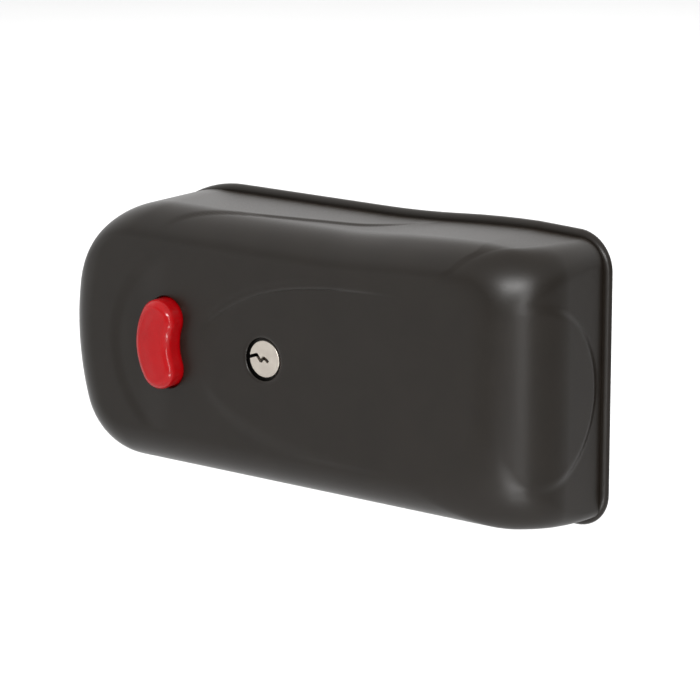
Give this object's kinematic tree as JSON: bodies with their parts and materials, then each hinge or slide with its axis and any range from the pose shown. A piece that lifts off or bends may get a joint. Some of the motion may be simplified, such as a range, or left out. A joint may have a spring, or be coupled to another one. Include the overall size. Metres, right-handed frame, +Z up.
{
  "type": "electric gate lock",
  "caption": "Surface-mounted electric gate lock: bulged steel cover on a back plate, kidney push button, key cylinder and a side latch pulled by button or solenoid.",
  "frame": {"origin": "on the back plate's rear face, in line with the middle of the cover's width, 0.5 mm above the latch axis", "axes": "+X along the case away from the latch, +Y into the wall, +Z up; the front faces -Y"},
  "size_m": [0.2205, 0.05, 0.1025],
  "materials": {
    "case_paint": "satin dark grey-brown powder paint",
    "zinc_sheet": "zinc plated sheet",
    "screw_zinc": "bright zinc",
    "grommet_rubber": "matt",
    "bolt_nickel": "satin nickel",
    "pin_steel": "ground steel",
    "rod_steel": "turned steel",
    "spring_steel": "drawn spring wire",
    "roller_nylon": "natural nylon",
    "button_red": "gloss moulded plastic",
    "cylinder_dark": "black oxide",
    "plug_nickel": "satin nickel plate",
    "pin_brass": "turned brass",
    "bobbin_black": "moulded",
    "coil_tape": "varnished winding",
    "terminal_ivory": "moulded",
    "lead_black": "wire insulation"
  },
  "bodies": {
    "base": {"back_plate": "case_paint", "cover_lugs": "zinc_sheet", "cover_screws": "screw_zinc", "cable_grommet": "grommet_rubber", "latch_face_plate": "zinc_sheet", "face_plate_screws": "screw_zinc", "rear_guide": "zinc_sheet", "rear_guide_screw": "screw_zinc", "lever_bracket": "zinc_sheet", "lever_bracket_screws": "screw_zinc", "pivot_pin": "pin_steel", "pivot_clip": "spring_steel", "latch_spring": "spring_steel", "cylinder_body": "cylinder_dark", "driver_pins": "pin_brass", "pin_springs": "spring_steel", "chamber_plugs": "pin_brass", "cylinder_bracket": "zinc_sheet", "cylinder_bracket_screws": "screw_zinc", "cylinder_screw": "screw_zinc", "solenoid_yoke": "zinc_sheet", "solenoid_bobbin": "bobbin_black", "solenoid_coil": "coil_tape", "solenoid_core": "rod_steel", "solenoid_screws": "screw_zinc", "terminal_block": "terminal_ivory", "terminal_screws": "pin_brass", "block_screws": "screw_zinc", "coil_leads": "lead_black", "earth_screw": "pin_brass"},
    "cover": {"front_cover": "case_paint", "button_guide": "zinc_sheet", "guide_nuts": "screw_zinc", "button_spring": "spring_steel"},
    "button": {"button_cap": "button_red", "button_stem": "rod_steel"},
    "lever": {"release_lever": "zinc_sheet", "push_roller": "roller_nylon", "roller_pin": "pin_steel"},
    "latch": {"latch_bolt": "bolt_nickel", "bolt_pin": "pin_steel", "latch_rod": "rod_steel", "drive_collar": "rod_steel", "collar_pin": "pin_steel", "key_dog": "rod_steel", "dog_pin": "pin_steel", "pull_link": "zinc_sheet", "link_pins": "pin_steel", "solenoid_plunger": "rod_steel"},
    "key_plug": {"cylinder_plug": "plug_nickel", "key_pins": "pin_brass", "cylinder_cam": "rod_steel", "cam_clip": "spring_steel"}
  },
  "joints": [
    {"name": "cover_lift", "type": "slide", "parent": "base", "child": "cover", "axis": [0, -1, 0], "range_m": [0, 0.075]},
    {"name": "button_press", "type": "slide", "parent": "cover", "child": "button", "axis": [0, 1, 0], "range_m": [0, 0.006], "stiffness_N_per_m": 600, "springref_m": -0.004, "deforming": ["button_spring", "latch_spring"]},
    {"name": "lever_turn", "type": "hinge", "parent": "base", "child": "lever", "pos_m": [-0.04739, -0.024, -0.0005], "axis": [0, 0, -1], "range_deg": [0, 43.51]},
    {"name": "latch_slide", "type": "slide", "parent": "base", "child": "latch", "axis": [1, 0, 0], "range_m": [0, 0.01261]},
    {"name": "key_turn", "type": "hinge", "parent": "base", "child": "key_plug", "pos_m": [-0.0103, -0.016, -0.0005], "axis": [0, -1, 0], "range_deg": [0, 50]}
  ],
  "couplings": [
    {"joint": "lever_turn", "follows": "button_press", "rad_per_m": 126.55},
    {"joint": "latch_slide", "follows": "button_press", "ratio": 2.1}
  ]
}
